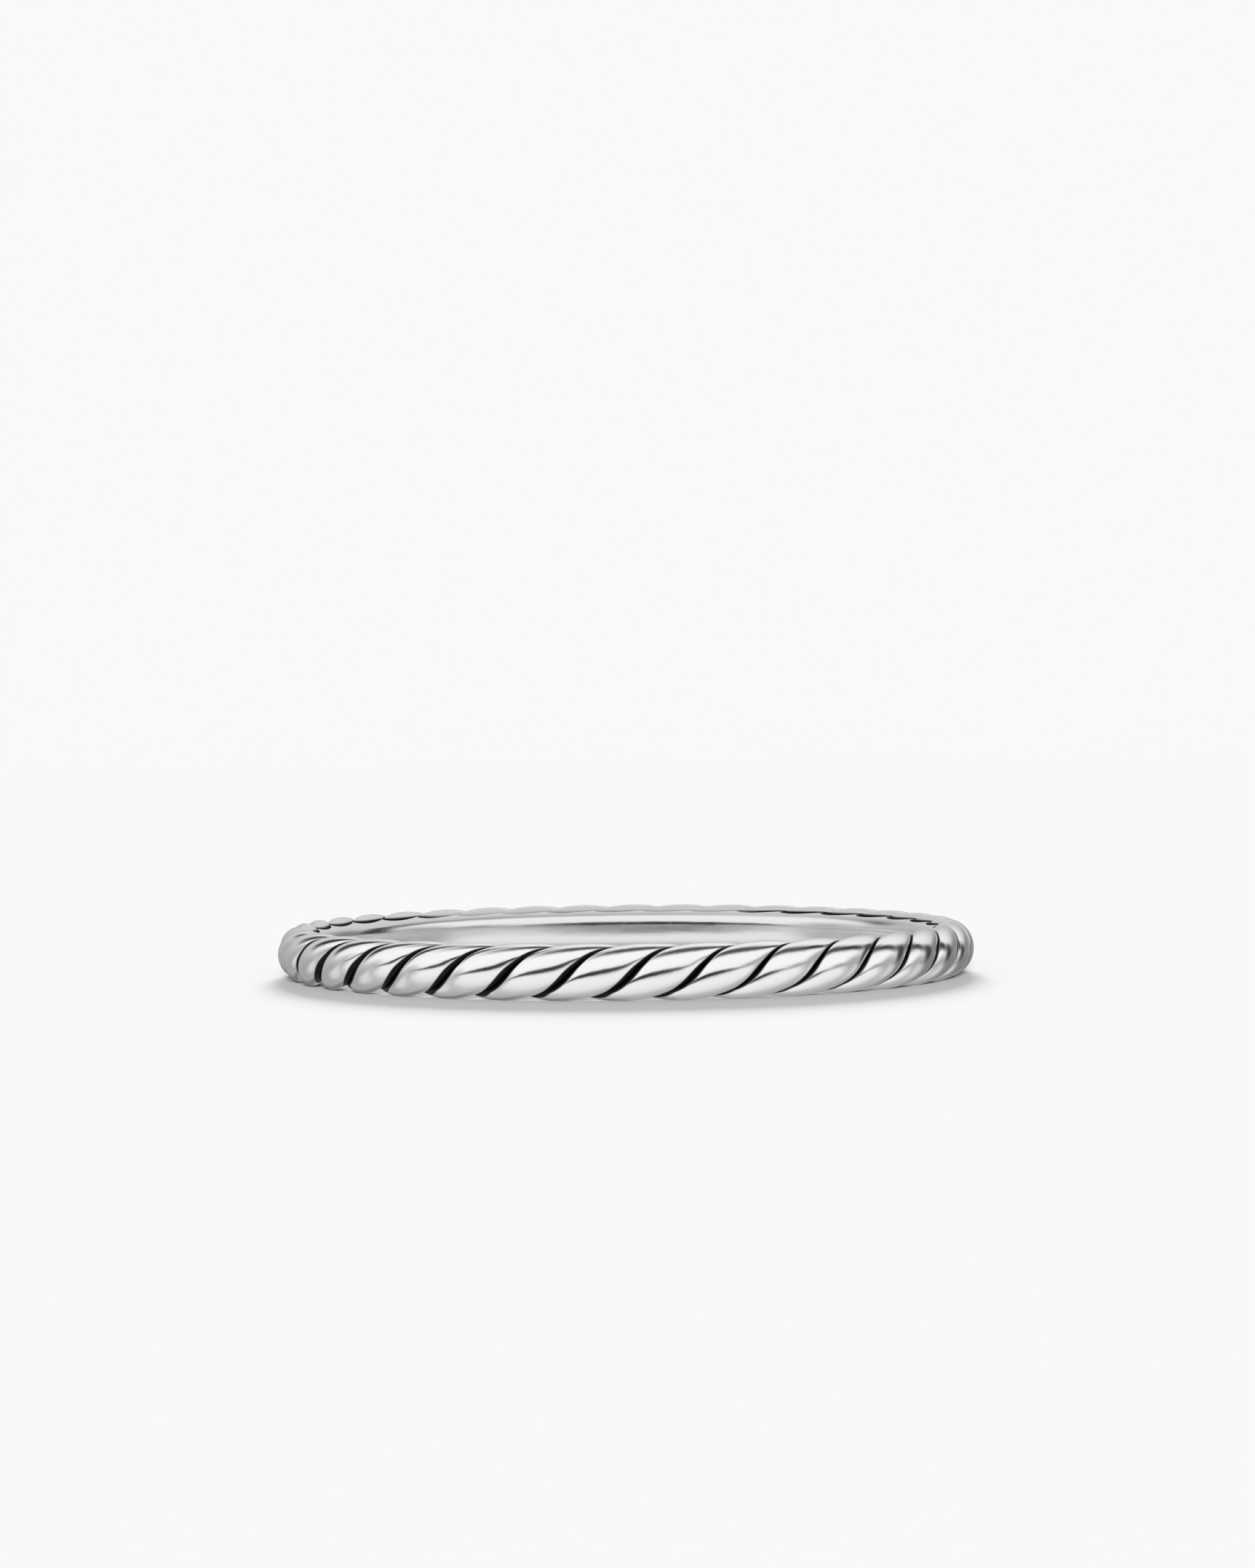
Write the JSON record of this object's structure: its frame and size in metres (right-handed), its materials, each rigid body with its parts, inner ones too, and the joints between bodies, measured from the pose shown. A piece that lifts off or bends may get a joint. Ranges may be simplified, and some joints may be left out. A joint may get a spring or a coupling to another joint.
{
  "type": "rope twist ring",
  "caption": "Slim finger ring of twisted rope, with oxidised grooves outside and a smooth rounded finger side.",
  "frame": {"origin": "centre of the finger hole, at the level of the lowest crowns, where the ring lies on its side", "axes": "+Z along the finger hole and up; the picture looks along +Y from slightly above"},
  "size_m": [0.02, 0.02, 0.0015],
  "materials": {
    "silver": "polished sterling silver, with the grooves of the rope oxidised black"
  },
  "bodies": {
    "root": {"rope_band": "silver"}
  },
  "joints": []
}
